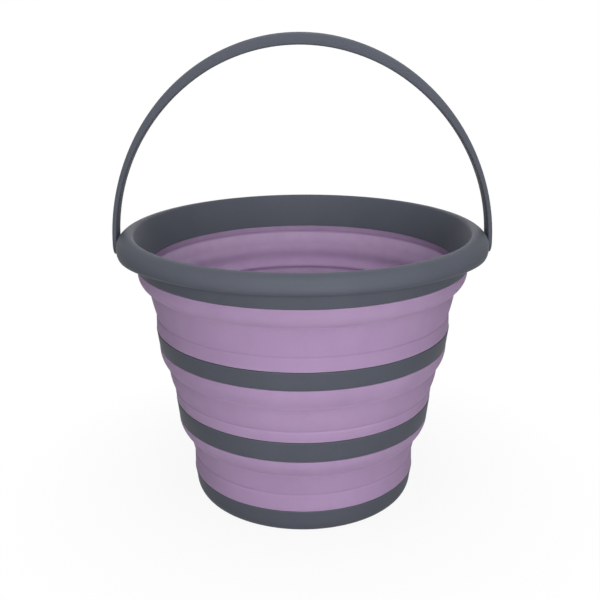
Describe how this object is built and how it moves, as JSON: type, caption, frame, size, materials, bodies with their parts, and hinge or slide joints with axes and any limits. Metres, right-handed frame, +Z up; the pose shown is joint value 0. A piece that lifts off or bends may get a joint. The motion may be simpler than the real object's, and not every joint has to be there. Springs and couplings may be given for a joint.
{
  "type": "collapsible bucket",
  "caption": "Round collapsible bucket: soft folding wall sections between stiff rings, a rolled rim and a swinging bail handle.",
  "frame": {"origin": "on the floor, under the middle of the base cup", "axes": "+Z up through the mouth, X along the line of the two handle pins, Y across it"},
  "size_m": [0.3388, 0.3304, 0.4177],
  "materials": {
    "slate_plastic": "satin",
    "lilac_rubber": "satin"
  },
  "bodies": {
    "base": {"base_cup": "slate_plastic", "base_hem": "lilac_rubber", "lower_wall": "lilac_rubber"},
    "lower_ring": {"lower_sleeve": "lilac_rubber", "lower_band": "slate_plastic", "middle_wall": "lilac_rubber"},
    "middle_ring": {"middle_sleeve": "lilac_rubber", "middle_band": "slate_plastic", "upper_wall": "lilac_rubber"},
    "rim": {"upper_sleeve": "lilac_rubber", "rim": "slate_plastic", "left_pivot_pin": "slate_plastic", "right_pivot_pin": "slate_plastic"},
    "handle": {"handle": "slate_plastic"}
  },
  "joints": [
    {"name": "lower_fold", "type": "slide", "parent": "base", "child": "lower_ring", "axis": [0, 0, -1], "range_m": [0, 0.054], "deforming": ["lower_wall"]},
    {"name": "middle_fold", "type": "slide", "parent": "lower_ring", "child": "middle_ring", "axis": [0, 0, -1], "range_m": [0, 0.064], "deforming": ["middle_wall"]},
    {"name": "upper_fold", "type": "slide", "parent": "middle_ring", "child": "rim", "axis": [0, 0, -1], "range_m": [0, 0.074], "deforming": ["upper_wall"]},
    {"name": "handle_swing", "type": "hinge", "parent": "rim", "child": "handle", "pos_m": [0, 0, 0.237], "axis": [1, 0, 0], "range_deg": [-90, 90]}
  ]
}
